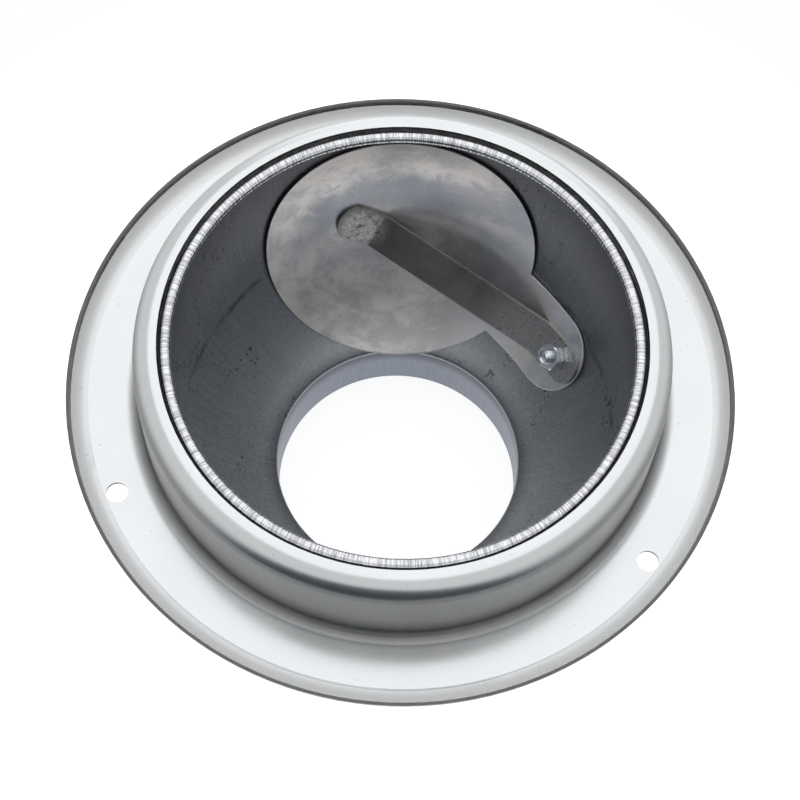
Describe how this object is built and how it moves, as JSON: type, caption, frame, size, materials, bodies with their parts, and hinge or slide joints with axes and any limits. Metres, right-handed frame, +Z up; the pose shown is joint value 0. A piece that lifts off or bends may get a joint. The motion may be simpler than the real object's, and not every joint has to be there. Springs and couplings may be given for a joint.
{
  "type": "jet nozzle air outlet",
  "caption": "Round ceiling jet nozzle air outlet: a spun metal flange and duct collar, a swivelling ball with an outlet neck, and a dished damper plate inside on a bolt.",
  "frame": {"origin": "on the outlet's axis, in the plane of the rim's back edge, which meets the ceiling", "axes": "+Z up the axis into the duct, so the outlet neck points down; +Y towards one of the three screw holes"},
  "size_m": [0.256, 0.256, 0.1384],
  "materials": {
    "spun_aluminium": "spun, bright satin",
    "ball_aluminium": "spun, dull satin",
    "damper_steel": "mill finish, mottled",
    "strap_steel": "mill finish, dull",
    "zinc": "zinc plated",
    "felt": "dark grey felt"
  },
  "bodies": {
    "housing": {"front_ring": "spun_aluminium", "rear_collar": "spun_aluminium"},
    "felt_rings": {"front_felt_ring": "felt", "rear_felt_ring": "felt"},
    "ball": {"ball_shell": "ball_aluminium"},
    "damper": {"damper_plate": "damper_steel", "damper_handle": "strap_steel", "pivot_bolt": "zinc", "flat_washer": "zinc", "spring_washer": "zinc", "pivot_nut": "zinc"}
  },
  "joints": [
    {"name": "ball_turn", "type": "hinge", "parent": "housing", "child": "felt_rings", "pos_m": [0, 0, 0.00385], "axis": [0, 0, 1], "continuous": true},
    {"name": "ball_tilt", "type": "hinge", "parent": "felt_rings", "child": "ball", "pos_m": [0, 0, 0.00385], "axis": [0.8049, 0.5934, 0], "range_deg": [-30, 30]},
    {"name": "damper_swing", "type": "hinge", "parent": "ball", "child": "damper", "pos_m": [0, 0, 0.00385], "axis": [-0.6512, -0.4801, 0.5878], "range_deg": [0, 87]}
  ]
}
